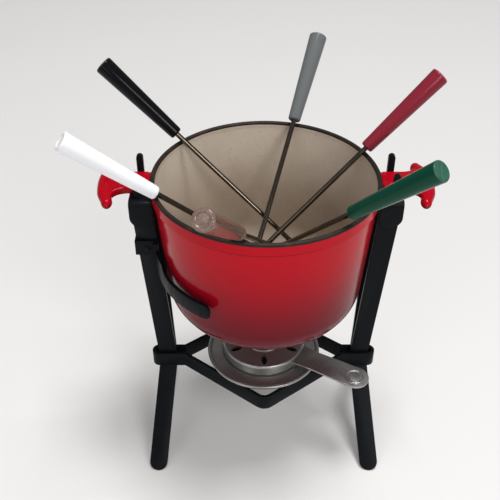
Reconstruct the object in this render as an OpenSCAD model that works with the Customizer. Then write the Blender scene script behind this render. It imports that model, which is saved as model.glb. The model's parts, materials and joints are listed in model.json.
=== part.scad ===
// Fondue pot set: enamelled iron pot with two lugs, four-legged strip-iron stand,
// spirit burner with a turning air regulator, six two-tined forks leaning in the pot.
// Z is up, the feet stand on z = 0, x and y are centred on the set's outer box.

/* [Pot] */
// Outer radius of the pot's rim
pot_r = 90; // [86:0.5:92]
// Height of the pot's rim above the table
rim_h = 272; // [268:1:280]
// Depth of the pot from rim to underside
pot_depth = 125; // [120:1:128]
// Iron wall thickness, lining included
pot_wall = 4.4; // [3.6:0.1:5.2]
// Enamel lining thickness
lining_t = 0.8; // [0.5:0.1:1.2]
// Radius of the rounded corner under the belly
belly_r = 29.4; // [26:0.2:32]
// Step from the lip to the wall below it
lip_step = 2; // [1.5:0.1:2.6]
// Half width of a lug's neck
lug_half_w = 12; // [10:0.5:13]
// How far a lug reaches out from the pot's axis
lug_reach = 131; // [126:0.5:134]

/* [Stand] */
// Width of the strip iron
strip_w = 16; // [14:0.5:16]
// Thickness of the strip iron
strip_t = 3; // [2.4:0.1:3.4]
// Underside of the shelf band above the table
shelf_z = 69; // [66:1:74]
// Height of the shelf band
shelf_h = 15; // [12:0.5:16]
// Half distance between the front and rear feet
foot_y = 70; // [64:1:76]
// Half distance between the left and right feet
foot_x = 96.5; // [92:0.5:100]
// Half distance between the left and right legs at the shelf
waist_x = 88; // [87:0.5:90]
// Distance of the shelf's front corner from the centre
shelf_corner = 57.3; // [55:0.1:60]
// Height of the horns above the lug seats
horn_h = 20; // [16:1:26]

/* [Burner] */
// Radius of the drip plate
plate_r = 51; // [49:0.5:53]
// Radius of the regulator's skirt
skirt_r = 37.2; // [37:0.1:39]
// Height of the regulator's top above the shelf
burner_h = 14.5; // [13:0.5:17]
// Number of air holes
air_holes = 6; // [5:1:7]
// Reach of the regulator's lever from the centre
lever_reach = 103; // [98:1:104]
// Direction of the lever, degrees from +X
lever_dir = -30.5; // [-36:0.5:-28]

/* [Forks] */
// Length of steel from tine tip to handle
steel_len = 190; // [184:1:196]
// Length of a fork's handle
handle_len = 81; // [76:0.5:88]
// Radius of the handle at its neck
neck_r = 5.3; // [4.6:0.1:5.6]
// Radius of the handle at its butt
butt_r = 7.6; // [6.6:0.1:7.8]
// Radius of the steel shank
shank_r = 2.1; // [1.6:0.05:2.1]

/* [Hidden] */
$fn = 96;
eps = 0.01;
rim_t = 2.4;                                      // height of the bare rim band
rim_w = 3.8;                                      // its width
SLIVER = 0.2;                                     // gap between parts of one body that only touch
lip_h = 10;
wall_r0 = pot_r - lip_step;                       // wall radius just under the lip
corner_r0 = wall_r0 - 36;                         // radius of the belly arc's centre
corner_z = -(pot_depth - belly_r);
lug_top = rim_h - 3;
lug_t = 7;
lug_under = lug_top - lug_t;
seat_top = lug_under - 0.3;
seat_z = seat_top - strip_t;
seat_x = 96.5;
horn_y = lug_half_w + 1.2 + 2;
seat_half = horn_y + 5.3;
leg_y0 = strip_t / 2 + 0.1;                       // centre of a strip at the waist
leg_y1 = seat_half - strip_t / 2;                 // centre of a strip under the seat
shelf_top = shelf_z + shelf_h;
band_y = leg_y0 + strip_t + 0.25;                 // centre line of the band beside the legs
band_x = waist_x + strip_w / 2 - 0.2;
band_in = waist_x - 16;
plate_z = shelf_top + 0.25;
lid_z = shelf_top + burner_h;
lid_t = 1.2;
drum_r = skirt_r - lid_t - 0.08;
hole_r = skirt_r * 0.758;
floor_z = rim_h - pot_depth + pot_wall;           // top of the lining on the pot's floor
fork_len = steel_len + handle_len;
butt_round = 1.6;

// forks: [tip x, tip y, angle of the rim point, height of the axis above the rim there]
WHITE = [61.2, -1.6, 201.9, 2.7];
BLACK = [64.8, 2.6, 143.8, 4.64];
GREY = [-27.1, -56.8, 72.6, 5.95];
WINE = [-53.2, -20, 22.4, 3.57];
GREEN = [-55.7, 11.1, 310, 7.74];
CLEAR = [28.1, 52.4, 256.9, 5.15];
FORKS = [WHITE, BLACK, GREY, WINE, GREEN, CLEAR];
COLOURS = ["whitesmoke", "#1c1c1e", "#77787a", "#8a0f1e", "#0a5a3c", "#d9d2cc"];

// where a fork stands: its tip, its rim point, its direction
function rise(r) = r <= 50 ? 0 : 24.2 - sqrt(24.2 * 24.2 - (r - 50) * (r - 50));
function tip_of(f) = [f[0], f[1], floor_z + 0.9 + rise(norm([f[0], f[1]]))];
function rim_of(f) = [(pot_r - 4) * cos(f[2]), (pot_r - 4) * sin(f[2]), rim_h + f[3]];
function dir_of(f) = (rim_of(f) - tip_of(f)) / norm(rim_of(f) - tip_of(f));
function butt_of(f, k) = tip_of(f)[k] + dir_of(f)[k] * (fork_len - butt_round);
function round_r(f, k) = (butt_r - butt_round) * sqrt(1 - dir_of(f)[k] * dir_of(f)[k]) + butt_round;
function hi(k) = max([for (f = FORKS) butt_of(f, k) + round_r(f, k)]);
function lo(k) = min([for (f = FORKS) butt_of(f, k) - round_r(f, k)]);
x_hi = max(hi(0), lug_reach);
x_lo = min(lo(0), -lug_reach);
shift = [-(x_hi + x_lo) / 2, -(hi(1) + lo(1)) / 2, 0];

// ---------- pot ----------

// point where a line from p touches the belly arc of radius r
function touch(p, r) =
    let (v = p - [corner_r0, corner_z], a = atan2(v[1], v[0]) - acos(r / norm(v)))
    [corner_r0 + r * cos(a), corner_z + r * sin(a)];

// half section of the pot's outside or hollow: a wall from p to the belly arc of radius r, and the floor
module pot_half(d, p, top) {
    r = belly_r - d;
    bottom = corner_z - r + 0.04;
    polygon([[0, bottom], [corner_r0, bottom], touch(p, r - 0.05), p, [p[0], top], [0, top]]);
    translate([corner_r0, corner_z]) circle(r, $fn = 128);
}

module pot_outer_half() {
    pot_half(0, [wall_r0, -lip_h - 2], -lip_h);
    polygon([[0, -lip_h - 3], [wall_r0 - 0.1, -lip_h - 2], [pot_r, -lip_h], [pot_r, -rim_t], [0, -rim_t]]);
}

module pot_cavity_half(d) pot_half(d, [pot_r - rim_w + pot_wall - d, -6], eps);

module pot_body() color("#c4111c") translate([0, 0, rim_h]) rotate_extrude($fn = 160) difference() {
    pot_outer_half();
    pot_cavity_half(pot_wall - lining_t);
}

module pot_lining() color("#d8cfc0") translate([0, 0, rim_h]) rotate_extrude($fn = 160) difference() {
    pot_cavity_half(pot_wall - lining_t);
    pot_cavity_half(pot_wall);
    translate([0, -rim_t]) square([pot_r + 1, 10]);
}

module pot_rim() color("#26221f") translate([0, 0, rim_h]) rotate_extrude($fn = 160) {
    intersection() {
        translate([pot_r - rim_w / 2, -rim_w / 2]) circle(rim_w / 2, $fn = 48);
        translate([pot_r - 6, -rim_t]) square([8, 4]);
    }
    translate([pot_r - rim_w + 0.03, -rim_t]) square([rim_w - 0.06, rim_t - rim_w / 2 + 0.2]);
}

module pot_base_ring() color("#26221f") translate([0, 0, rim_h - pot_depth - 1.4])
    difference() { cylinder(r = corner_r0 - 3, h = 1.4); translate([0, 0, -1]) cylinder(r = corner_r0 - 9, h = 4); }

// a lug for the +x side: flat neck, web, rounded bar curved in towards the pot and down
module lug_plan() {
    bar_in = lug_reach - 10;
    square_from = pot_r - 8;
    translate([square_from, -lug_half_w]) square([bar_in - square_from - 1, 2 * lug_half_w]);
    difference() {
        intersection() {
            translate([lug_reach - 90, 0]) circle(84.6, $fn = 160);
            translate([bar_in - 14, -lug_half_w - 13]) square([18, 2 * lug_half_w + 26]);
        }
        for (s = [-1, 1]) translate([bar_in - 14.2, s * (lug_half_w + 12.9)]) circle(13);
    }
}

module lug_right() color("#c4111c") difference() {
    union() {
        intersection() {
            translate([0, 0, lug_under]) linear_extrude(lug_t) lug_plan();
            translate([0, 0, lug_top - 85.94]) rotate([0, 90, 0]) cylinder(r = 86, h = 200, $fn = 180);
        }
        translate([lug_reach - 5.2, 0, lug_top - 4.4]) rotate([0, -22, 0]) translate([-70, 0, 0]) {
            rotate([0, 0, -22]) rotate_extrude(angle = 44, $fn = 120) translate([70, 0]) circle(5.2, $fn = 40);
            for (s = [-1, 1]) rotate([0, 0, s * 21.4]) translate([70, 0, 0]) sphere(5.45, $fn = 40);
        }
    }
    translate([0, 0, rim_h]) rotate_extrude($fn = 160) pot_outer_half();
}

module lug_left() mirror([1, 0, 0]) lug_right();

// ---------- stand ----------

// a strip hanging down by len from the origin, tilted by a about x and b about y
module hanging(a, b, len) rotate([a, b, 0]) translate([-strip_w / 2, -strip_t / 2, -len]) cube([strip_w, strip_t, len]);

// front left leg; the other three are its mirror images
module leg() {
    low_a = -atan2(foot_y - leg_y0, shelf_z);
    low_b = asin((foot_x - waist_x) / norm([foot_x - waist_x, shelf_z]));
    low_u = cos(low_a) * cos(low_b);
    low_len = (shelf_z - low_u * strip_w * 0.46) / low_u;
    up_len = norm([seat_x - waist_x, leg_y1 - leg_y0, seat_z - shelf_top]);
    up_a = -asin((leg_y1 - leg_y0) / up_len);
    up_b = atan2(seat_x - waist_x, seat_z - shelf_top);
    intersection() {
        union() {
            translate([-waist_x, -leg_y0, shelf_z]) {
                hanging(low_a, low_b, low_len);
                rotate([low_a, low_b, 0]) translate([0, strip_t / 2, -low_len]) rotate([90, 0, 0])
                    cylinder(r = strip_w / 2, h = strip_t, $fn = 64);
                translate([-strip_w / 2, 0, 0]) rotate([0, 90, 0]) cylinder(r = strip_t / 2, h = strip_w, $fn = 32);
            }
            translate([-waist_x - strip_w / 2, -leg_y0 - strip_t / 2, shelf_z]) cube([strip_w, strip_t, shelf_h]);
            translate([-waist_x, -leg_y0, shelf_top]) {
                mirror([0, 0, 1]) hanging(up_a, up_b, up_len + 3);
                translate([-strip_w / 2, 0, 0]) rotate([0, 90, 0]) cylinder(r = strip_t / 2, h = strip_w, $fn = 32);
            }
        }
        translate([-150, -150, 0]) cube([150, 150 - 0.1, seat_z - eps]);
    }
}

module leg_front_left() color("#1d1f21") leg();
module leg_front_right() color("#1d1f21") mirror([1, 0, 0]) leg();
module leg_rear_left() color("#1d1f21") mirror([0, 1, 0]) leg();
module leg_rear_right() color("#1d1f21") mirror([1, 0, 0]) mirror([0, 1, 0]) leg();

// a lug's seat: a strip across the two leg tops, folded down over each leg, with a horn at each end
module seat_right() color("#1d1f21") {
    w = strip_w + 1.6;
    y = seat_half + 0.3;
    difference() {
        union() {
            translate([seat_x - w / 2, -y - strip_t, seat_z - 11]) cube([w, 2 * (y + strip_t), 11 + strip_t]);
            for (s = [-1, 1]) translate([seat_x, s * (y + strip_t / 2), seat_z - 11]) rotate([90, 0, 0])
                cylinder(r = w / 2 - 0.02, h = strip_t, center = true, $fn = 64);
        }
        translate([seat_x - w, -y, seat_z - 30]) cube([2 * w, 2 * y, 30]);
        translate([0, 0, seat_z - 20]) cylinder(r = pot_r + 0.7, h = 40, $fn = 160);
        for (s = [-1, 1]) translate([seat_x - w, s * (y + strip_t - 4) - (s < 0 ? 10 : 0), seat_z + strip_t - 4]) difference() {
            cube([2 * w, 10, 10]);
            translate([-1, s < 0 ? 10 : 0, 0]) rotate([0, 90, 0]) cylinder(r = 4, h = 2 * w + 2, $fn = 64);
        }
    }
    for (s = [-1, 1]) translate([seat_x + 2.5, s * horn_y, seat_z]) {
        translate([-2.6, -2, 0]) cube([5.2, 4, strip_t + horn_h - 2.6]);
        translate([0, 2, strip_t + horn_h - 2.6]) rotate([90, 0, 0]) cylinder(r = 2.6, h = 4, $fn = 48);
    }
}

module seat_left() mirror([1, 0, 0]) seat_right();

module bar2d(p, q, t) translate(p) rotate(atan2(q[1] - p[1], q[0] - p[0]))
    translate([0, -t / 2]) square([norm(q - p), t]);

module arc2d(r, t, a0, a1) intersection() {
    difference() { circle(r + t / 2); circle(r - t / 2); }
    polygon([[0, 0], [3 * r * cos(a0), 3 * r * sin(a0)], [3 * r * cos((a0 + a1) / 2), 3 * r * sin((a0 + a1) / 2)],
        [3 * r * cos(a1), 3 * r * sin(a1)]]);
}

// the closed band: wraps both leg pairs, folds to a corner at the front and the rear
module band_plan() {
    bend = 9;
    slope = atan2(shelf_corner + 2.2 - band_y, band_in);
    peak = shelf_corner + bend / cos(slope) - bend;
    cy = peak - bend / cos(slope);
    for (m = [0, 1], n = [0, 1]) mirror([m, 0]) mirror([0, n]) {
        a = [band_in, -band_y];
        b = [bend * sin(slope), -cy - bend * cos(slope)];
        bar2d(a, b, strip_t);
        bar2d(a, [band_x, -band_y], strip_t);
        translate(a) circle(strip_t / 2);
    }
    for (n = [0, 1]) mirror([0, n]) translate([0, -cy]) arc2d(bend, strip_t, -90 - slope - 0.5, -90 + slope + 0.5);
    for (m = [0, 1]) mirror([m, 0]) translate([band_x, 0]) arc2d(band_y, strip_t, -90.2, 90.2);
}

module shelf_band() color("#1d1f21") translate([0, 0, shelf_z]) linear_extrude(shelf_h) band_plan();

// the clip on the front left leg, and the strap that reaches round the pot's belly from it
clip_z = 215;
clip_k = (clip_z - shelf_top) / (seat_z - shelf_top);
clip_x = -(waist_x + (seat_x - waist_x) * clip_k);
clip_y = -(leg_y0 + (leg_y1 - leg_y0) * clip_k);

module leg_clip() color("#1d1f21") difference() {
    translate([clip_x - strip_w / 2 - 2, clip_y - strip_t / 2 - 2.4, clip_z - 7]) cube([strip_w + 4, strip_t + 4.8, 14]);
    leg();
    translate([0, 0, clip_z - 10]) cylinder(r = pot_r - 1.6, h = 20, $fn = 160);
}

module clip_rivet() color("#2a2c2e") translate([clip_x, clip_y - strip_t / 2 - 2.4, clip_z]) rotate([90, 0, 0]) intersection() {
    cylinder(r = 2.6, h = 1.4, $fn = 40);
    translate([0, 0, -2]) sphere(3.4, $fn = 40);
}

strap_z = 198.7;

module guard_strap() color("#1d1f21") {
    r_in = pot_r + 0.4 - strip_t;
    bend_x = -74;
    end_x = -49;
    intersection() {
        translate([0, 0, 150]) difference() {
            cylinder(r = pot_r + 0.4, h = 88, $fn = 180);
            translate([0, 0, -1]) cylinder(r = r_in, h = 90, $fn = 180);
        }
        translate([0, clip_y - strip_t / 2 - 2.4 - SLIVER, strap_z]) rotate([90, 0, 0]) linear_extrude(90) {
            intersection() {
                translate([bend_x, 14]) difference() { circle(20.5); circle(7.5); }
                translate([bend_x - 30, -10]) square([30, 25]);
            }
            translate([bend_x - 0.5, -6.48]) square([end_x - bend_x + 0.5, 12.96]);
            intersection() {
                translate([end_x, 0]) circle(6.8, $fn = 64);
                translate([end_x - 8, -6.46]) square([20, 12.92]);
            }
        }
    }
    difference() {
        translate([clip_x + strip_w / 2 - 3, clip_y - strip_t / 2 - 2.4 - 3.4, clip_z - 6]) cube([6, 3.4 - SLIVER, 12]);
        cylinder(r = r_in + 0.7, h = 300, $fn = 180);
    }
}

// ---------- burner ----------

module burner_pan() color("#9a9a98") translate([0, 0, plate_z]) {
    rotate_extrude($fn = 120) {
        difference() {
            union() {
                polygon([[0, -26], [drum_r - 4, -26], [drum_r - 2, -24], [drum_r - 2, 0], [plate_r - 1.7, 0],
                    [plate_r - 1.7, 1.2], [skirt_r + 1.5, 3.2], [0, 3.2]]);
                translate([plate_r - 1.7, 1.7]) circle(1.7, $fn = 40);
            }
            translate([-1, -24.8]) square([drum_r - 2.2, 40]);
        }
    }
}

// a lens-shaped air hole, long way out from the centre
module lens(h) linear_extrude(h) intersection() {
    translate([0, 5.76]) circle(8.46);
    translate([0, -5.76]) circle(8.46);
}

module air_ring(h) for (i = [0 : air_holes - 1]) rotate([0, 0, -90 + i * 360 / air_holes])
    translate([hole_r, 0, 0]) lens(h);

module burner_drum() color("#8d8d8b") difference() {
    union() {
        difference() {
            translate([0, 0, plate_z + 3.2 + eps]) cylinder(r = drum_r, h = lid_z - lid_t - 0.1 - plate_z - 3.2, $fn = 120);
            translate([0, 0, plate_z]) cylinder(r = drum_r - 1.2, h = lid_z - lid_t - 1.3 - plate_z, $fn = 120);
        }
        translate([0, 0, lid_z - 6]) cylinder(r = 16.2, h = 7.4);
    }
    translate([0, 0, plate_z - 1]) cylinder(r = 15, h = 60);
    translate([0, 0, lid_z - 5]) air_ring(10);
}

module burner_wool() color("#cfcac0") translate([0, 0, plate_z - 24.6]) cylinder(r = 14.6, h = lid_z - plate_z + 22);

module regulator_lid() color("#a9a9a7") translate([0, 0, lid_z]) difference() {
    rotate_extrude($fn = 120) difference() {
        union() {
            translate([16.4, -lid_t]) square([skirt_r - 16.4 - 2.4, lid_t]);
            translate([skirt_r - 2.4, -2.4]) circle(2.4, $fn = 48);
            translate([skirt_r - lid_t, -9.6]) square([lid_t, 7.2]);
            translate([17.4, 0.3]) circle(1, $fn = 32);
        }
        translate([0, -12]) square([skirt_r - lid_t, 12 - lid_t]);
    }
    translate([0, 0, -4]) air_ring(8);
}

module lever_plan() {
    tip = lever_reach - 12;
    polygon([[30, -12.5], [52, -10.8], [tip, -11.8], [tip, 11.8], [52, 10.8], [30, 12.5]]);
    translate([tip, 0]) circle(12);
}

module regulator_lever() color("#8f8f8d") rotate([0, 0, lever_dir]) translate([0, 0, lid_z - 4.2]) {
    difference() {
        union() {
            linear_extrude(1.6) lever_plan();
            translate([lever_reach - 12, 0, 1.5]) {
                rotate_extrude() translate([7.4, 0]) circle(0.9, $fn = 32);
                cylinder(r = 5.4, h = 0.5);
            }
            intersection() {
                translate([0, 0, -5]) cylinder(r = skirt_r + 1.4, h = 5.2, $fn = 120);
                translate([30, -10.5, -6]) cube([20, 21, 8]);
            }
        }
        translate([0, 0, -20]) cylinder(r = skirt_r + 0.02, h = 40, $fn = 120);
    }
}

module lever_rivets() color("#b5b5b3") for (s = [-1, 1]) rotate([0, 0, lever_dir + s * 9])
    translate([skirt_r + 1.41, 0, lid_z - 6.8]) rotate([0, 90, 0]) intersection() {
        cylinder(r = 1.6, h = 1.1, $fn = 32);
        translate([0, 0, -1.2]) sphere(2.3, $fn = 32);
    }

// ---------- forks ----------

module along(f) {
    d = dir_of(f);
    translate(tip_of(f)) rotate([0, acos(d[2]), atan2(d[1], d[0])]) children();
}

// two pointed tines with a small barb each, a U root and a round shank
module steel() {
    for (s = [-1, 1]) translate([0, 3 * s, 0]) {
        translate([0, 0, 4]) cylinder(r = 1.1, h = 17, $fn = 24);
        cylinder(r1 = 0.35, r2 = 1.1, h = 4, $fn = 24);
        translate([0, 0, 5]) cylinder(r1 = 1.1, r2 = 1.7, h = 2.4, $fn = 24);
    }
    translate([0, 0, 21]) rotate([90, 0, 90]) rotate_extrude(angle = 180, $fn = 48) translate([3, 0]) circle(1.1, $fn = 24);
    translate([0, 0, 23.6]) cylinder(r = shank_r, h = steel_len - 23.6 - 0.02, $fn = 32);
}

// a handle that widens to its butt, rounded at the neck, with a shallow dish in the butt
module handle() {
    h = handle_len;
    translate([0, 0, steel_len]) rotate_extrude($fn = 64) difference() {
        union() {
            polygon([[0, 0], [neck_r - 1.8, 0], [neck_r, 1.8], [butt_r, h - butt_round], [butt_r - butt_round, h], [0, h]]);
            translate([neck_r - 1.75, 1.8]) circle(1.78, $fn = 40);
            translate([butt_r - butt_round, h - butt_round]) circle(butt_round, $fn = 40);
        }
        translate([-20, -5]) square([20, h + 10]);
        translate([0, h + 11.2]) circle(12, $fn = 96);
    }
}

module fork_white_steel() color("#b9b6b0") along(WHITE) steel();
module fork_black_steel() color("#b9b6b0") along(BLACK) steel();
module fork_grey_steel() color("#b9b6b0") along(GREY) steel();
module fork_wine_steel() color("#b9b6b0") along(WINE) steel();
module fork_green_steel() color("#b9b6b0") along(GREEN) steel();
module fork_clear_steel() color("#b9b6b0") along(CLEAR) steel();
module fork_white_handle() color(COLOURS[0]) along(WHITE) handle();
module fork_black_handle() color(COLOURS[1]) along(BLACK) handle();
module fork_grey_handle() color(COLOURS[2]) along(GREY) handle();
module fork_wine_handle() color(COLOURS[3]) along(WINE) handle();
module fork_green_handle() color(COLOURS[4]) along(GREEN) handle();
module fork_clear_handle() color(COLOURS[5]) along(CLEAR) handle();

translate(shift) pot_body();
translate(shift) pot_lining();
translate(shift) pot_rim();
translate(shift) pot_base_ring();
translate(shift) lug_left();
translate(shift) lug_right();
translate(shift) leg_front_left();
translate(shift) leg_front_right();
translate(shift) leg_rear_left();
translate(shift) leg_rear_right();
translate(shift) seat_left();
translate(shift) seat_right();
translate(shift) shelf_band();
translate(shift) leg_clip();
translate(shift) clip_rivet();
translate(shift) guard_strap();
translate(shift) burner_pan();
translate(shift) burner_drum();
translate(shift) burner_wool();
translate(shift) regulator_lid();
translate(shift) regulator_lever();
translate(shift) lever_rivets();
translate(shift) fork_white_steel();
translate(shift) fork_white_handle();
translate(shift) fork_black_steel();
translate(shift) fork_black_handle();
translate(shift) fork_grey_steel();
translate(shift) fork_grey_handle();
translate(shift) fork_wine_steel();
translate(shift) fork_wine_handle();
translate(shift) fork_green_steel();
translate(shift) fork_green_handle();
translate(shift) fork_clear_steel();
translate(shift) fork_clear_handle();
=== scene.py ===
"""Fondue pot set: the looks of its pieces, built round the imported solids.

One operator makes each group of pieces, and one sets the stage. Lengths are in
metres, in the solids' own frame: z is up and the feet stand on z = 0.
"""

import json
import math
import random

import bmesh
import bpy
from mathutils import Euler, Matrix, Vector, noise


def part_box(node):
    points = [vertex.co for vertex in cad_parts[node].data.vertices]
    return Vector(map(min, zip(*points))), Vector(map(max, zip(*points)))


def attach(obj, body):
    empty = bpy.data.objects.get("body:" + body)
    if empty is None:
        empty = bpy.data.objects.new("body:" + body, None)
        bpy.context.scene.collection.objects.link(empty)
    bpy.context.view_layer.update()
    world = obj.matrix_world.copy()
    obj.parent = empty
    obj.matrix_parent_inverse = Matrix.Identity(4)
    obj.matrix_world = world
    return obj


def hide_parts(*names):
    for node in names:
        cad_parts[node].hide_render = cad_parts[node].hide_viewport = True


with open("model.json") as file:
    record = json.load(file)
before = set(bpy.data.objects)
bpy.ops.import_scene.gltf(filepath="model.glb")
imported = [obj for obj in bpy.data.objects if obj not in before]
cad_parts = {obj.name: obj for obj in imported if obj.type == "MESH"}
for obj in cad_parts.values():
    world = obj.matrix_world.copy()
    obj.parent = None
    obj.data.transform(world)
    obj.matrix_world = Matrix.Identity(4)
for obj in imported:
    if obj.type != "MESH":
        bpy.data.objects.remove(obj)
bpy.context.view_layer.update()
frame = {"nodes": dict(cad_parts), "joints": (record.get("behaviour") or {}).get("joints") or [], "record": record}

bl_info = {
    "name": "Fondue pot set",
    "version": (1, 0, 0),
    "blender": (4, 5, 0),
    "location": "View3D > Sidebar > Fondue",
    "description": "Enamelled pot, strip-iron stand, spirit burner and forks",
    "category": "Object",
}

MM = 0.001
RIM_LOW, RIM_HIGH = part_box("pot_rim")
AXIS = Vector(((RIM_LOW.x + RIM_HIGH.x) / 2, (RIM_LOW.y + RIM_HIGH.y) / 2, 0))
COLOURS = ("white", "black", "grey", "wine", "green", "clear")

# Degrees round a lug's bar where its tips begin and end, and the share they lose by the end.
TAPER_START, TAPER_END, TAPER_DEPTH = 12, 26, 0.34

# Heights above the table where the finishes change: the pot's enamel deepens in colour downwards, while the lugs'
# blend, the band under the lip's step and the lining's darkening lower down are painted shade.
POT_BRIGHT, POT_DEEP = 262 * MM, 160 * MM
LUG_SHADE_LEAST, LUG_SHADE_FULL = 272 * MM, 238 * MM
CREASE_SHADE_BELOW = (259.4 * MM, 260.6 * MM)
CREASE_SHADE_ABOVE = (261.6 * MM, 262.6 * MM)
LINING_SHADE_FULL, LINING_SHADE_NONE = 195 * MM, 268 * MM

# Fork handles: the roundings of neck and butt, the groove round the steel and the dish in the butt.
NECK_ROUND, BUTT_ROUND = 1.8 * MM, 1.6 * MM
GROOVE_INNER, GROOVE_R, GROOVE_DEPTH = 1.9 * MM, 2.4 * MM, 0.25 * MM
DISH_R = 5.2 * MM

# The burner's wool: its crown, the layer that is dimpled, and the loose fibres on it.
CROWN, DIMPLED = 2.2 * MM, 2.5 * MM
FIBRES, FIBRE_R, FIBRE_STEP = 150, 0.11 * MM, 1.1 * MM

# The camera: its place from the foot of the pot's axis, its tilt in degrees, and its lens in mm.
EYE = Vector((-12.4, -512.2, 590.8)) * MM
TILT, LENS, SENSOR = 52.58, 55.8, 36
FLOOR_HALF = 4
ROOM = (0.93, 0.94, 0.95, 1)

# Faces round a turned piece.
TURNS = 96


# ---------- shader maths ----------


class Value:
    """A number on its way through a material's nodes; arithmetic on it adds Math nodes."""

    def __init__(self, shading, socket):
        self.shading, self.socket = shading, socket

    def _math(self, operation, a, b):
        return self.shading.node("ShaderNodeMath", {"operation": operation}, {0: a, 1: b})

    def __add__(self, other):
        return self._math("ADD", self, other)

    def __sub__(self, other):
        return self._math("SUBTRACT", self, other)

    def __rsub__(self, other):
        return self._math("SUBTRACT", other, self)

    def __mul__(self, other):
        return self._math("MULTIPLY", self, other)

    def __pow__(self, other):
        return self._math("POWER", self, other)

    __radd__, __rmul__ = __add__, __mul__


class Shading:
    """The node tree of a material or of the world, and the one method that adds a node to it."""

    def __init__(self, owner):
        owner.use_nodes = True
        self.tree = owner.node_tree

    def fill(self, target, value):
        """Links a value to a socket, or sets the socket to a plain number or colour."""
        if isinstance(value, Value):
            self.tree.links.new(value.socket, target)
        else:
            target.default_value = value

    def node(self, kind, settings=None, inputs=None, out=0):
        """Adds one node: its settings first, then the values or links of its sockets."""
        node = self.tree.nodes.new(kind)
        for key, value in (settings or {}).items():
            setattr(node, key, value)
        for key, value in (inputs or {}).items():
            self.fill(node.inputs[key], value)
        return Value(self, node.outputs[out])

    def seen_by(self, *rays):
        """1 for rays of these kinds, and 0 for the others."""
        seen = [self.node("ShaderNodeLightPath", out=f"Is {ray} Ray") for ray in rays]
        return sum(seen[1:], seen[0])

    def show(self, shader):
        """Makes a shader the tree's surface."""
        output = next(n for n in self.tree.nodes if n.name.endswith("Output"))
        self.fill(output.inputs["Surface"], shader)


class Finish(Shading):
    """One material: its Principled shader, and the nodes that vary it over the surface."""

    def __init__(self, name, **constants):
        self.material = bpy.data.materials.new(name)
        super().__init__(self.material)
        self.shader = self.tree.nodes["Principled BSDF"]
        for socket, value in constants.items():
            self.set(socket.replace("_", " "), value)
        self.place = self.node("ShaderNodeTexCoord", out="Object")

    def set(self, socket, value):
        """Sets one of the Principled shader's sockets."""
        self.fill(self.shader.inputs[socket], value)

    def xyz(self, axis):
        """One coordinate of the place on the surface: X, Y or Z."""
        return self.node("ShaderNodeSeparateXYZ", None, {0: self.place}, axis)

    def along(self, direction):
        """How far the place on the surface lies along a direction."""
        inputs = {0: self.place, 1: tuple(direction)}
        return self.node("ShaderNodeVectorMath", {"operation": "DOT_PRODUCT"}, inputs, "Value")

    def noise(self, scale, detail=3.0, rough=0.5):
        """Mottling, from 0 to 1, with about this many changes to a metre."""
        inputs = {"Vector": self.place, "Scale": scale, "Detail": detail, "Roughness": rough}
        return self.node("ShaderNodeTexNoise", None, inputs)

    def stripes(self, along, scale, detail):
        """Fine lines: noise that changes along one number only."""
        inputs = {"W": along, "Scale": scale, "Detail": detail}
        return self.node("ShaderNodeTexNoise", {"noise_dimensions": "1D"}, inputs)

    def fade(self, value, start, end):
        """0 before start, 1 after end, smooth between."""
        settings = {"interpolation_type": "SMOOTHSTEP"}
        return self.node("ShaderNodeMapRange", settings, {"Value": value, "From Min": start, "From Max": end})

    def mix(self, a, b, amount):
        """Colour a turning into colour b."""
        return self.node("ShaderNodeMix", {"data_type": "RGBA"}, {0: amount, 6: a, 7: b}, 2)

    def bump(self, height, depth, strength):
        """Raises the surface by a height from 0 to 1, times a depth in metres."""
        inputs = {"Height": height, "Distance": depth, "Strength": strength}
        self.set("Normal", self.node("ShaderNodeBump", None, inputs))

    def radius(self, centre):
        """Distance from an upright axis through centre."""
        x, y = self.xyz("X") - centre.x, self.xyz("Y") - centre.y
        return (x * x + y * y) ** 0.5


def rgba(colour, strength=1):
    """A colour with its alpha, made paler or darker by a factor."""
    return (*(channel * strength for channel in colour), 1)


def enamel(name, colour, low, bright, darkest_height):
    """Glossy vitreous enamel: deeper in colour lower down, with painted shade in a band under the lip's step, and
    a faint orange peel; on the lugs the height blend is painted shade on their undersides.
    """
    f = Finish(name, Specular_IOR_Level=0.09, Coat_Roughness=0.04, Coat_Weight=0.06)
    height = f.xyz("Z")
    cloud = f.noise(22, 4)
    shade = f.mix(rgba(low), rgba(colour), f.fade(height, darkest_height, bright) * (0.86 + cloud * 0.28))
    speck = f.fade(f.noise(620, 2), 0.70, 0.76)
    # Painted shade: a dark band just under the lip's step.
    crease_shade = f.fade(height, *CREASE_SHADE_BELOW) * (1 - f.fade(height, *CREASE_SHADE_ABOVE)) * 0.55
    dark = rgba(low, 0.25)
    f.set("Base Color", f.mix(f.mix(shade, dark, crease_shade), dark, speck * 0.35))
    f.set("Roughness", 0.10 + f.noise(60, 3) * 0.12)
    f.bump(f.noise(110, 2) + f.noise(480, 2) * 0.25, 0.45 * MM, 0.35)
    return f.material


def lining_enamel(name, colour):
    """Cream enamel: satin, with painted shade that darkens it towards a warm tint lower down, a film in random
    patches and fine dark specks.
    """
    f = Finish(name, Specular_IOR_Level=0.3, Coat_Roughness=0.15, Coat_Weight=0.05)
    # Painted shade: the lining darkens lower down in the pot, where less light reaches it.
    depth = 1 - f.fade(f.xyz("Z"), LINING_SHADE_FULL, LINING_SHADE_NONE)
    film = f.noise(16, 5, 0.6)
    warm = tuple(c * k for c, k in zip(colour, (0.52, 0.48, 0.44)))
    base = f.mix(rgba(colour), rgba(warm), depth * 0.80 + f.fade(film, 0.45, 0.75) * 0.20)
    specks = f.fade(f.noise(900, 1), 0.71, 0.74)
    f.set("Base Color", f.mix(base, (0.10, 0.075, 0.055, 1), specks * 0.7))
    f.set("Roughness", 0.24 + film * 0.22)
    f.bump(f.noise(140, 2), 0.3 * MM, 0.35)
    return f.material


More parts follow.
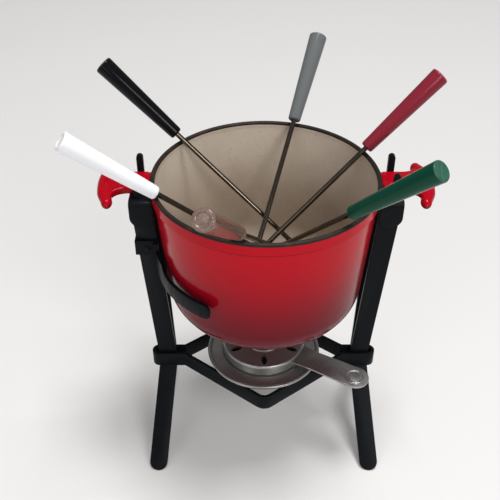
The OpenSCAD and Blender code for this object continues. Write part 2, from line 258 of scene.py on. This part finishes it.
def bare_iron(name, colour):
    """Bare cast iron, oiled: dark, brownish where it has been handled, with a sand-cast grain."""
    f = Finish(name, Metallic=0.3, Specular_IOR_Level=0.2)
    rust = f.fade(f.noise(90, 5, 0.65), 0.48, 0.72)
    f.set("Base Color", f.mix(rgba(colour), (0.080, 0.044, 0.028, 1), rust * 0.5))
    f.set("Roughness", 0.36 + f.noise(240, 3) * 0.3)
    f.bump(f.noise(900, 3), 0.25 * MM, 0.6)
    return f.material


def strip_paint(name, colour):
    """Satin black paint on strip iron: a fine dry grain, runs of thinner paint and a few pale scuffs."""
    f = Finish(name, Specular_IOR_Level=0.06)
    cloud = f.noise(30, 4)
    scuff = f.fade(f.noise(260, 4, 0.7), 0.66, 0.72) * f.fade(f.noise(20, 2), 0.5, 0.65)
    base = f.mix(rgba(colour), rgba(colour, 1.7), cloud)
    f.set("Base Color", f.mix(base, (0.075, 0.075, 0.078, 1), scuff * 0.7))
    f.set("Roughness", 0.30 + cloud * 0.16 + scuff * 0.15)
    f.bump(f.noise(1300, 3) + cloud * 0.6, 0.12 * MM, 0.5)
    return f.material


def turned_steel(name, colour, heat):
    """Spun sheet steel: rings of fine brush marks round the pot's axis, with brown heat tint near it."""
    f = Finish(name, Metallic=0.86, Anisotropic=0.35)
    radius = f.radius(AXIS)
    rings = f.stripes(radius, 2600, 3)
    stain = f.fade(f.noise(38, 5, 0.62), 0.46, 0.72)
    tint = (1 - f.fade(radius, 14 * MM, 40 * MM)) * heat
    base = f.mix(rgba(colour), rgba(colour, 0.66), rings * 0.45 + stain * 0.35)
    f.set("Base Color", f.mix(base, (0.33, 0.22, 0.12, 1), tint * 0.5))
    f.set("Roughness", 0.20 + rings * 0.20 + stain * 0.14)
    f.bump(rings, 0.06 * MM, 0.4)
    return f.material


def drawn_steel(name, colour, direction):
    """Polished drawn wire: faint marks along its length and patches of tarnish."""
    f = Finish(name, Metallic=1.0)
    lines = f.stripes(f.along(direction.orthogonal().normalized()), 5200, 2)
    stain = f.fade(f.noise(55, 4, 0.6), 0.5, 0.75)
    f.set("Base Color", f.mix(rgba(colour), (0.20, 0.16, 0.12, 1), lines * 0.25 + stain * 0.30))
    f.set("Roughness", 0.10 + lines * 0.08 + stain * 0.12)
    f.bump(lines, 0.04 * MM, 0.3)
    return f.material


def moulded(name, colour, axis, butt, clear):
    """Moulded handle plastic: glossy, with soft flow marks and hair-fine scratches.

    Its butt is paler, with a paler line across; axis is the handle's direction, and butt its far end.
    """
    gloss, coat = (0.5, 0.0) if clear else (0.13, 0.06)
    f = Finish(name, Specular_IOR_Level=gloss, IOR=1.49, Coat_Weight=coat, Coat_Roughness=0.05)
    f.set("Transmission Weight", clear)
    flow = f.noise(34, 3)
    scratch = f.fade(f.noise(420, 5, 0.75), 0.62, 0.7)
    shade = f.mix(rgba(colour), rgba(colour, 0.8), flow * 0.5)
    level = axis.cross((0, 0, 1)).normalized()
    across = (level + level.cross(axis)).normalized()
    off_line = f.along(across) - across.dot(butt)
    line = 1 - f.fade((off_line * off_line) ** 0.5, 0.25 * MM, 0.55 * MM)
    end = axis.dot(butt)
    face = f.fade(f.along(axis), end - 1.5 * MM, end - 0.9 * MM)
    pale = [min(0.9, c * 1.8 + 0.055) for c in colour]
    f.set("Base Color", f.mix(shade, rgba(pale), face * (0.55 + line * 0.45)))
    f.set("Roughness", 0.13 + flow * 0.08 + scratch * 0.14)
    f.bump(flow + scratch * 0.08, 0.2 * MM, 0.25)
    return f.material


def fibre(name, colour):
    """Mineral wool: matt, mottled, darker where spirit has scorched it."""
    f = Finish(name, Roughness=1.0, Sheen_Weight=0.4)
    scorch = f.fade(f.noise(120, 5, 0.7), 0.48, 0.8)
    f.set("Base Color", f.mix(rgba(colour), (0.20, 0.16, 0.12, 1), scorch * 0.6))
    f.bump(f.noise(1500, 4, 0.7), 0.5 * MM, 0.9)
    return f.material


# ---------- mesh making ----------


def put(bm, name, material, body, node):
    """Makes an object of a bmesh, dresses it, and lets it ride on a body in place of a CAD node."""
    bmesh.ops.recalc_face_normals(bm, faces=bm.faces)
    mesh = bpy.data.meshes.new(name)
    bm.to_mesh(mesh)
    bm.free()
    mesh.materials.append(material)
    mesh.shade_smooth()
    piece = bpy.data.objects.new(name, mesh)
    bpy.context.scene.collection.objects.link(piece)
    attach(piece, body)
    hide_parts(node)
    return piece


def settle(piece):
    """Turns a piece's modifiers into its mesh."""
    graph = bpy.context.evaluated_depsgraph_get()
    mesh = bpy.data.meshes.new_from_object(piece.evaluated_get(graph))
    piece.modifiers.clear()
    piece.data = mesh


def copy_of(node):
    """A bmesh of a CAD node with its flat faces whole again."""
    bm = bmesh.new()
    bm.from_mesh(frame["nodes"][node].data)
    bmesh.ops.remove_doubles(bm, verts=bm.verts, dist=0.004 * MM)
    bmesh.ops.dissolve_limit(
        bm, angle_limit=math.radians(0.4), verts=bm.verts, edges=bm.edges, delimit={"NORMAL"}
    )
    return bm


def softened(node, name, material, body, edge):
    """A CAD node with its sharp edges broken by a small rounded bevel, as worked metal has."""
    piece = put(copy_of(node), name, material, body, node)
    bevel = piece.modifiers.new("broken edges", "BEVEL")
    bevel.width = edge
    bevel.segments = 3
    bevel.limit_method = "ANGLE"
    bevel.angle_limit = math.radians(38)
    bevel.use_clamp_overlap = True
    bevel.harden_normals = True
    settle(piece)


def turned(profile, place):
    """A bmesh turned on a lathe: a profile of (radius, height) carried round the axis, and set in place."""
    bm = bmesh.new()
    angles = [2 * math.pi * i / TURNS for i in range(TURNS)]
    rings = []
    for r, z in profile:
        if r == 0:
            rings.append([bm.verts.new((0, 0, z))])
        else:
            rings.append([bm.verts.new((r * math.cos(a), r * math.sin(a), z)) for a in angles])
    for low, high in zip(rings, rings[1:]):
        for i in range(TURNS):
            j = (i + 1) % TURNS
            corners = [low[i % len(low)], low[j % len(low)], high[j % len(high)], high[i % len(high)]]
            unique = list(dict.fromkeys(corners))
            if len(unique) > 2:
                bm.faces.new(unique)
    bmesh.ops.transform(bm, matrix=place, verts=bm.verts)
    return bm


def arc(centre, r, start, end, steps):
    """Points of an arc in a profile, angles in degrees."""
    angles = [math.radians(start + (end - start) * i / steps) for i in range(steps + 1)]
    return [(centre[0] + r * math.cos(a), centre[1] + r * math.sin(a)) for a in angles]


def straight_line(xs, ys):
    """The straight line that fits the points best, as a function of x."""
    mean_x, mean_y = sum(xs) / len(xs), sum(ys) / len(ys)
    spread = sum((x - mean_x) ** 2 for x in xs)
    slope = sum((x - mean_x) * (y - mean_y) for x, y in zip(xs, ys)) / spread
    return lambda x: mean_y + slope * (x - mean_x)


def joint_axis(name):
    """The direction that a joint slides along."""
    return Vector(next(j["axis"] for j in frame["joints"] if j["name"] == name)).normalized()


# ---------- settings ----------


def colour_prop(name, words, value):
    return bpy.props.FloatVectorProperty(
        name=name, description=words, subtype="COLOR", size=3, min=0, max=1, default=value
    )


def length_prop(name, words, value):
    return bpy.props.FloatProperty(
        name=name, description=words, subtype="DISTANCE", unit="LENGTH", min=0, default=value
    )


class FondueColours(bpy.types.PropertyGroup):
    """Colours of the set's finishes."""

    enamel: colour_prop("Enamel", "The pot's outside where light reaches it", (0.50, 0.002, 0.012))
    enamel_low: colour_prop("Enamel, low", "The pot's outside towards its base", (0.115, 0.003, 0.010))
    lining: colour_prop("Lining", "The enamel inside the pot", (0.66, 0.565, 0.465))
    iron: colour_prop("Bare iron", "The rim and the base ring", (0.024, 0.019, 0.016))
    paint: colour_prop("Paint", "The stand", (0.0046, 0.0056, 0.0072))
    steel: colour_prop("Burner steel", "The burner and its regulator", (0.40, 0.39, 0.38))
    wool: colour_prop("Wool", "The burner's wool", (0.66, 0.63, 0.56))
    shank: colour_prop("Fork steel", "The forks' shanks and tines", (0.13, 0.11, 0.09))
    white: colour_prop("White handle", "Handle colour", (0.92, 0.93, 0.96))
    black: colour_prop("Black handle", "Handle colour", (0.0045, 0.0045, 0.0058))
    grey: colour_prop("Grey handle", "Handle colour", (0.140, 0.152, 0.155))
    wine: colour_prop("Wine red handle", "Handle colour", (0.23, 0.020, 0.035))
    green: colour_prop("Green handle", "Handle colour", (0.002, 0.054, 0.030))
    clear: colour_prop("Clear handle", "Tint of the clear handle", (0.38, 0.26, 0.21))
    floor: colour_prop("Floor", "Floor and backdrop", (0.80, 0.79, 0.775))


class FondueSizes(bpy.types.PropertyGroup):
    """Small sizes that the looks add to the solids."""

    strip_edge: length_prop("Strip edge", "Rounding on the strip iron's edges", 0.45 * MM)
    lug_voxel: length_prop("Lug grain", "Step that the lugs' castings are smoothed at", 0.8 * MM)
    bar_centre: length_prop("Lug bar centre", "Pot's axis to the centre of a lug's curved bar", 55.8 * MM)
    lever_edge: length_prop("Lever edge", "Rounding on the regulator lever's edges", 0.35 * MM)
    handle_len: length_prop("Handle length", "Length of a fork's handle", 81 * MM)
    neck_r: length_prop("Neck radius", "Handle radius at its neck", 5.3 * MM)
    butt_r: length_prop("Butt radius", "Handle radius at its butt", 7.6 * MM)
    wool_r: length_prop("Wool radius", "Radius of the wool in the burner's collar", 14.6 * MM)


def colours():
    return bpy.context.scene.fondue_colours


def sizes():
    return bpy.context.scene.fondue_sizes


def dress(node, material):
    """Gives a CAD node its material."""
    mesh = frame["nodes"][node].data
    mesh.materials.clear()
    mesh.materials.append(material)


# ---------- the pieces ----------


class FONDUE_OT_pot(bpy.types.Operator):
    """Enamel, lining and bare iron of the pot"""

    bl_idname = "fondue.pot"
    bl_label = "Pot"

    def execute(self, context):
        c = colours()
        dress("pot_body", enamel("red enamel", c.enamel, c.enamel_low, POT_BRIGHT, POT_DEEP))
        dress("pot_lining", lining_enamel("cream enamel", c.lining))
        iron = bare_iron("bare iron", c.iron)
        dress("pot_rim", iron)
        dress("pot_base_ring", iron)
        return {"FINISHED"}


class FONDUE_OT_lugs(bpy.types.Operator):
    """The two cast lugs, with the soft fillets a casting has"""

    bl_idname = "fondue.lugs"
    bl_label = "Lugs"

    def execute(self, context):
        c = colours()
        # Painted shade: the lugs take a darker copy of the pot's enamel, and blend down to the low colour on their
        # undersides.
        shaded = [k * 0.8 for k in c.enamel]
        coat = enamel("lug enamel", shaded, c.enamel_low, LUG_SHADE_LEAST, LUG_SHADE_FULL)
        for side in ("left", "right"):
            piece = put(copy_of(f"lug_{side}"), f"cast_lug_{side}", coat, "pot", f"lug_{side}")
            cast = piece.modifiers.new("cast", "REMESH")
            cast.mode = "VOXEL"
            cast.voxel_size = sizes().lug_voxel
            soft = piece.modifiers.new("soft", "SMOOTH")
            soft.factor = 0.5
            soft.iterations = 10
            settle(piece)
            self.taper(piece.data, -1 if side == "left" else 1)
            piece.data.shade_smooth()
        return {"FINISHED"}

    def taper(self, mesh, side):
        """Draws the ends of the lug's curved bar down to soft tips, about the bar's own centre line."""
        centre = AXIS.x + side * sizes().bar_centre
        tips = []
        for v in mesh.vertices:
            across, out = v.co.y - AXIS.y, side * (v.co.x - centre)
            angle = math.degrees(math.atan2(abs(across), out))
            if angle > TAPER_START and out > 0:
                tips.append((v, angle, math.hypot(across, out), math.copysign(1, across)))
        angles = [angle for _, angle, _, _ in tips]
        middle_r = straight_line(angles, [radius for _, _, radius, _ in tips])
        middle_z = straight_line(angles, [v.co.z for v, _, _, _ in tips])
        for v, angle, radius, end in tips:
            keep = 1 - TAPER_DEPTH * ((angle - TAPER_START) / (TAPER_END - TAPER_START)) ** 1.5
            mid_r, mid_z = middle_r(angle), middle_z(angle)
            radius = mid_r + (radius - mid_r) * keep
            turn = math.radians(angle)
            v.co = (
                centre + side * radius * math.cos(turn),
                AXIS.y + end * radius * math.sin(turn),
                mid_z + (v.co.z - mid_z) * keep,
            )


class FONDUE_OT_stand(bpy.types.Operator):
    """Legs, seats, shelf band, clip and strap, with the strip's edges broken"""

    bl_idname = "fondue.stand"
    bl_label = "Stand"

    def execute(self, context):
        paint = strip_paint("black paint", colours().paint)
        for node in frame["record"]["behaviour"]["bodies"]["stand"]:
            if node == "clip_rivet":
                dress(node, paint)
            else:
                softened(node, f"iron_{node}", paint, "stand", sizes().strip_edge)
        return {"FINISHED"}


class FONDUE_OT_burner(bpy.types.Operator):
    """Drip plate, drum and collar, and the wool that holds the spirit"""

    bl_idname = "fondue.burner"
    bl_label = "Burner"

    def execute(self, context):
        c = colours()
        dress("burner_pan", turned_steel("plate steel", c.steel, heat=0.0))
        dress("burner_drum", turned_steel("drum steel", c.steel, heat=0.7))
        wool = fibre("mineral wool", c.wool)
        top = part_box("burner_wool")[1].z
        self.plug(wool, top)
        self.tufts(wool, top)
        return {"FINISHED"}

    def plug(self, wool, top):
        """The wad of wool, crowned and dimpled on top."""
        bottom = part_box("burner_wool")[0].z
        r = sizes().wool_r
        profile = [(0, bottom), (r * 0.96, bottom), (r, bottom + 1 * MM), (r, top - CROWN)]
        profile += [(r * k, top - CROWN * k**6) for k in (1 - i / 14 for i in range(1, 14))]
        profile += [(0, top)]
        bm = turned(profile, Matrix.Translation(AXIS))
        piece = put(bm, "wool_plug", wool, "burner", "burner_wool")
        for v in piece.data.vertices:
            if v.co.z > top - DIMPLED:
                coarse, fine = abs(noise.noise(v.co * 420)), abs(noise.noise(v.co * 1400))
                v.co.z -= 1.1 * MM * coarse + 0.4 * MM * fine

    def tufts(self, wool, top):
        """Loose fibres lying on the wool."""
        rng = random.Random(7)
        r = sizes().wool_r
        curve = bpy.data.curves.new("wool_fibres", "CURVE")
        curve.dimensions = "3D"
        curve.bevel_depth = FIBRE_R
        curve.bevel_resolution = 1
        for _ in range(FIBRES):
            around, out = rng.uniform(0, 2 * math.pi), r * 0.86 * math.sqrt(rng.random())
            turn = rng.uniform(0, 2 * math.pi)
            spline = curve.splines.new("POLY")
            spline.points.add(5)
            for i, point in enumerate(spline.points):
                t = (i - 2.5) * FIBRE_STEP
                bend = turn + i * rng.uniform(-0.25, 0.25)
                x = AXIS.x + out * math.cos(around) + t * math.cos(bend)
                y = AXIS.y + out * math.sin(around) + t * math.sin(bend)
                z = top - 0.55 * MM + 0.35 * MM * math.sin(i * 1.3 + around)
                point.co = (x, y, z, 1)
        fibres = bpy.data.objects.new("wool_fibres", curve)
        bpy.context.scene.collection.objects.link(fibres)
        curve.materials.append(wool)
        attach(fibres, "burner")


class FONDUE_OT_regulator(bpy.types.Operator):
    """The lid with its air holes, the lever and its rivets"""

    bl_idname = "fondue.regulator"
    bl_label = "Regulator"

    def execute(self, context):
        c = colours()
        # Painted light: the lid takes a slightly brighter copy of the burner steel.
        painted_light_steel = [k * 1.06 for k in c.steel]
        dress("regulator_lid", turned_steel("lid steel", painted_light_steel, heat=0.45))
        lever = turned_steel("lever steel", c.steel, heat=0.0)
        softened("regulator_lever", "pressed_lever", lever, "regulator", sizes().lever_edge)
        dress("lever_rivets", lever)
        return {"FINISHED"}


class FONDUE_OT_forks(bpy.types.Operator):
    """Six forks: drawn steel shanks, and handles moulded on them"""

    bl_idname = "fondue.forks"
    bl_label = "Forks"

    def execute(self, context):
        c = colours()
        for name in COLOURS:
            axis = joint_axis(f"fork_{name}_lift")
            dress(f"fork_{name}_steel", drawn_steel(f"{name} fork steel", c.shank, axis))
            self.handle(name, axis)
        return {"FINISHED"}

    def handle(self, name, axis):
        """A handle, grooved round the steel at its neck, that widens to a rounded and dished butt."""
        s = sizes()
        length, neck, butt = s.handle_len, s.neck_r, s.butt_r
        straight = length - NECK_ROUND - BUTT_ROUND
        profile = [(0, 0), (GROOVE_INNER, 0), (GROOVE_R, GROOVE_DEPTH)]
        profile += arc((neck - NECK_ROUND, NECK_ROUND), NECK_ROUND, -75, 0, 8)
        profile += [(neck + (butt - neck) * t, NECK_ROUND + straight * t) for t in (0.25, 0.5, 0.75)]
        profile += arc((butt - BUTT_ROUND, length - BUTT_ROUND), BUTT_ROUND, 0, 90, 10)
        profile += [(DISH_R, length), (DISH_R - 0.25 * MM, length - 0.2 * MM)]
        for share, depth in ((0.85, 0.5), (0.6, 0.7), (0.3, 0.78), (0, 0.8)):
            profile.append((DISH_R * share, length - depth * MM))
        start = self.neck_of(name, axis)
        turn = axis.to_track_quat("Z", "Y").to_matrix().to_4x4()
        clear = 0.8 if name == "clear" else 0.0
        material = moulded(f"{name} handle", getattr(colours(), name), axis, start + axis * length, clear)
        bm = turned(profile, Matrix.Translation(start) @ turn)
        put(bm, f"handle_{name}", material, f"fork_{name}", f"fork_{name}_handle")

    def neck_of(self, name, axis):
        """Where a handle starts on its axis, from its box.

        The box's middle is the middle of the axis, moved by half of how the two ends differ in reach.
        """
        s = sizes()
        low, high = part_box(f"fork_{name}_handle")
        sideways = Vector([math.sqrt(max(0, 1 - k * k)) for k in axis])
        ahead = Vector([abs(k) for k in axis])

        def reach(radius, rounding):
            return (radius - rounding) * sideways + Vector((rounding,) * 3) - rounding * ahead

        uneven = reach(s.butt_r, BUTT_ROUND) - reach(s.neck_r, NECK_ROUND)
        moved = Vector([math.copysign(1, k) * gap / 2 for k, gap in zip(axis, uneven)])
        return (low + high) / 2 - moved - axis * s.handle_len / 2


class FONDUE_OT_stage(bpy.types.Operator):
    """Floor, lamps and camera"""

    bl_idname = "fondue.stage"
    bl_label = "Stage"

    def execute(self, context):
        scene = context.scene
        bm = bmesh.new()
        bmesh.ops.create_grid(bm, x_segments=8, y_segments=8, size=FLOOR_HALF)
        mesh = bpy.data.meshes.new("floor")
        bm.to_mesh(mesh)
        bm.free()
        floor = bpy.data.objects.new("floor", mesh)
        scene.collection.objects.link(floor)
        mesh.materials.append(self.paper())
        self.world(scene)
        self.lamp("overhead", place=(0.42, 0.10, 3.20), aim=0.1, size=(1.0, 0.9), watts=79)
        self.lamp("window", place=(0.48, -0.98, 1.0), aim=0.2, size=(0.5, 0.6), watts=6.6)
        self.lamp("fill", place=(-0.70, -0.95, 0.85), aim=0.2, size=(0.7, 0.7), watts=2.4)
        self.camera(scene)
        scene.view_settings.view_transform = "Standard"
        return {"FINISHED"}

    def camera(self, scene):
        """The photograph's view, fitted to the rim's ellipse and the pot's outline."""
        data = bpy.data.cameras.new("camera")
        data.lens, data.sensor_width = LENS, SENSOR
        camera = bpy.data.objects.new("camera", data)
        camera.location = AXIS + EYE
        camera.rotation_euler = Euler((math.radians(TILT), 0, 0))
        scene.collection.objects.link(camera)
        scene.camera = camera

    def paper(self):
        """Pale floor: it takes the object's shadow, with a little of its own colour as glow."""
        f = Finish("pale floor", Roughness=0.9, Specular_IOR_Level=0.1)
        colour = rgba(colours().floor)
        f.set("Base Color", f.mix(colour, rgba(colours().floor, 0.985), f.noise(9, 2)))
        seen = f.seen_by("Camera", "Glossy", "Transmission")
        glow = f.node("ShaderNodeEmission", None, {"Color": colour, "Strength": 1.0})
        plain = Value(f, f.shader.outputs["BSDF"])
        f.show(f.node("ShaderNodeMixShader", None, {0: seen * 0.15, 1: plain, 2: glow}))
        return f.material

    def world(self, scene):
        """A soft room: dim as a light, and pale where the eye looks straight, or through glass, at it."""
        scene.world = bpy.data.worlds.new("soft room")
        f = Shading(scene.world)
        f.tree.nodes.remove(f.tree.nodes["Background"])
        dim, pale = (
            f.node("ShaderNodeBackground", None, {"Color": ROOM, "Strength": strength})
            for strength in (0.22, 0.72)
        )
        seen = f.seen_by("Camera", "Transmission")
        f.show(f.node("ShaderNodeMixShader", None, {0: seen, 1: dim, 2: pale}))

    def lamp(self, name, place, aim, size, watts):
        """A soft box that points at the pot's axis, at a height above the table."""
        data = bpy.data.lights.new(name, "AREA")
        data.shape = "RECTANGLE"
        data.size, data.size_y = size
        data.energy = watts
        lamp = bpy.data.objects.new(name, data)
        lamp.location = place
        target = Vector((AXIS.x, AXIS.y, aim))
        lamp.rotation_euler = (target - Vector(place)).to_track_quat("-Z", "Y").to_euler()
        bpy.context.scene.collection.objects.link(lamp)


class FONDUE_PT_panel(bpy.types.Panel):
    """The set's settings and its pieces"""

    bl_idname = "FONDUE_PT_panel"
    bl_label = "Fondue pot set"
    bl_space_type = "VIEW_3D"
    bl_region_type = "UI"
    bl_category = "Fondue"

    def draw(self, context):
        for group in (context.scene.fondue_sizes, context.scene.fondue_colours):
            box = self.layout.box()
            for key in group.__annotations__:
                box.prop(group, key)
        for operator in OPERATORS:
            self.layout.operator(operator.bl_idname)


OPERATORS = (
    FONDUE_OT_pot,
    FONDUE_OT_lugs,
    FONDUE_OT_stand,
    FONDUE_OT_burner,
    FONDUE_OT_regulator,
    FONDUE_OT_forks,
    FONDUE_OT_stage,
)
CLASSES = (FondueColours, FondueSizes, *OPERATORS, FONDUE_PT_panel)


def register():
    for cls in CLASSES:
        bpy.utils.register_class(cls)
    bpy.types.Scene.fondue_colours = bpy.props.PointerProperty(type=FondueColours)
    bpy.types.Scene.fondue_sizes = bpy.props.PointerProperty(type=FondueSizes)


def unregister():
    del bpy.types.Scene.fondue_colours
    del bpy.types.Scene.fondue_sizes
    for cls in reversed(CLASSES):
        bpy.utils.unregister_class(cls)


def main():
    register()
    for operator in OPERATORS:
        area, _, name = operator.bl_idname.partition(".")
        getattr(getattr(bpy.ops, area), name)()


if __name__ == "__main__":
    main()
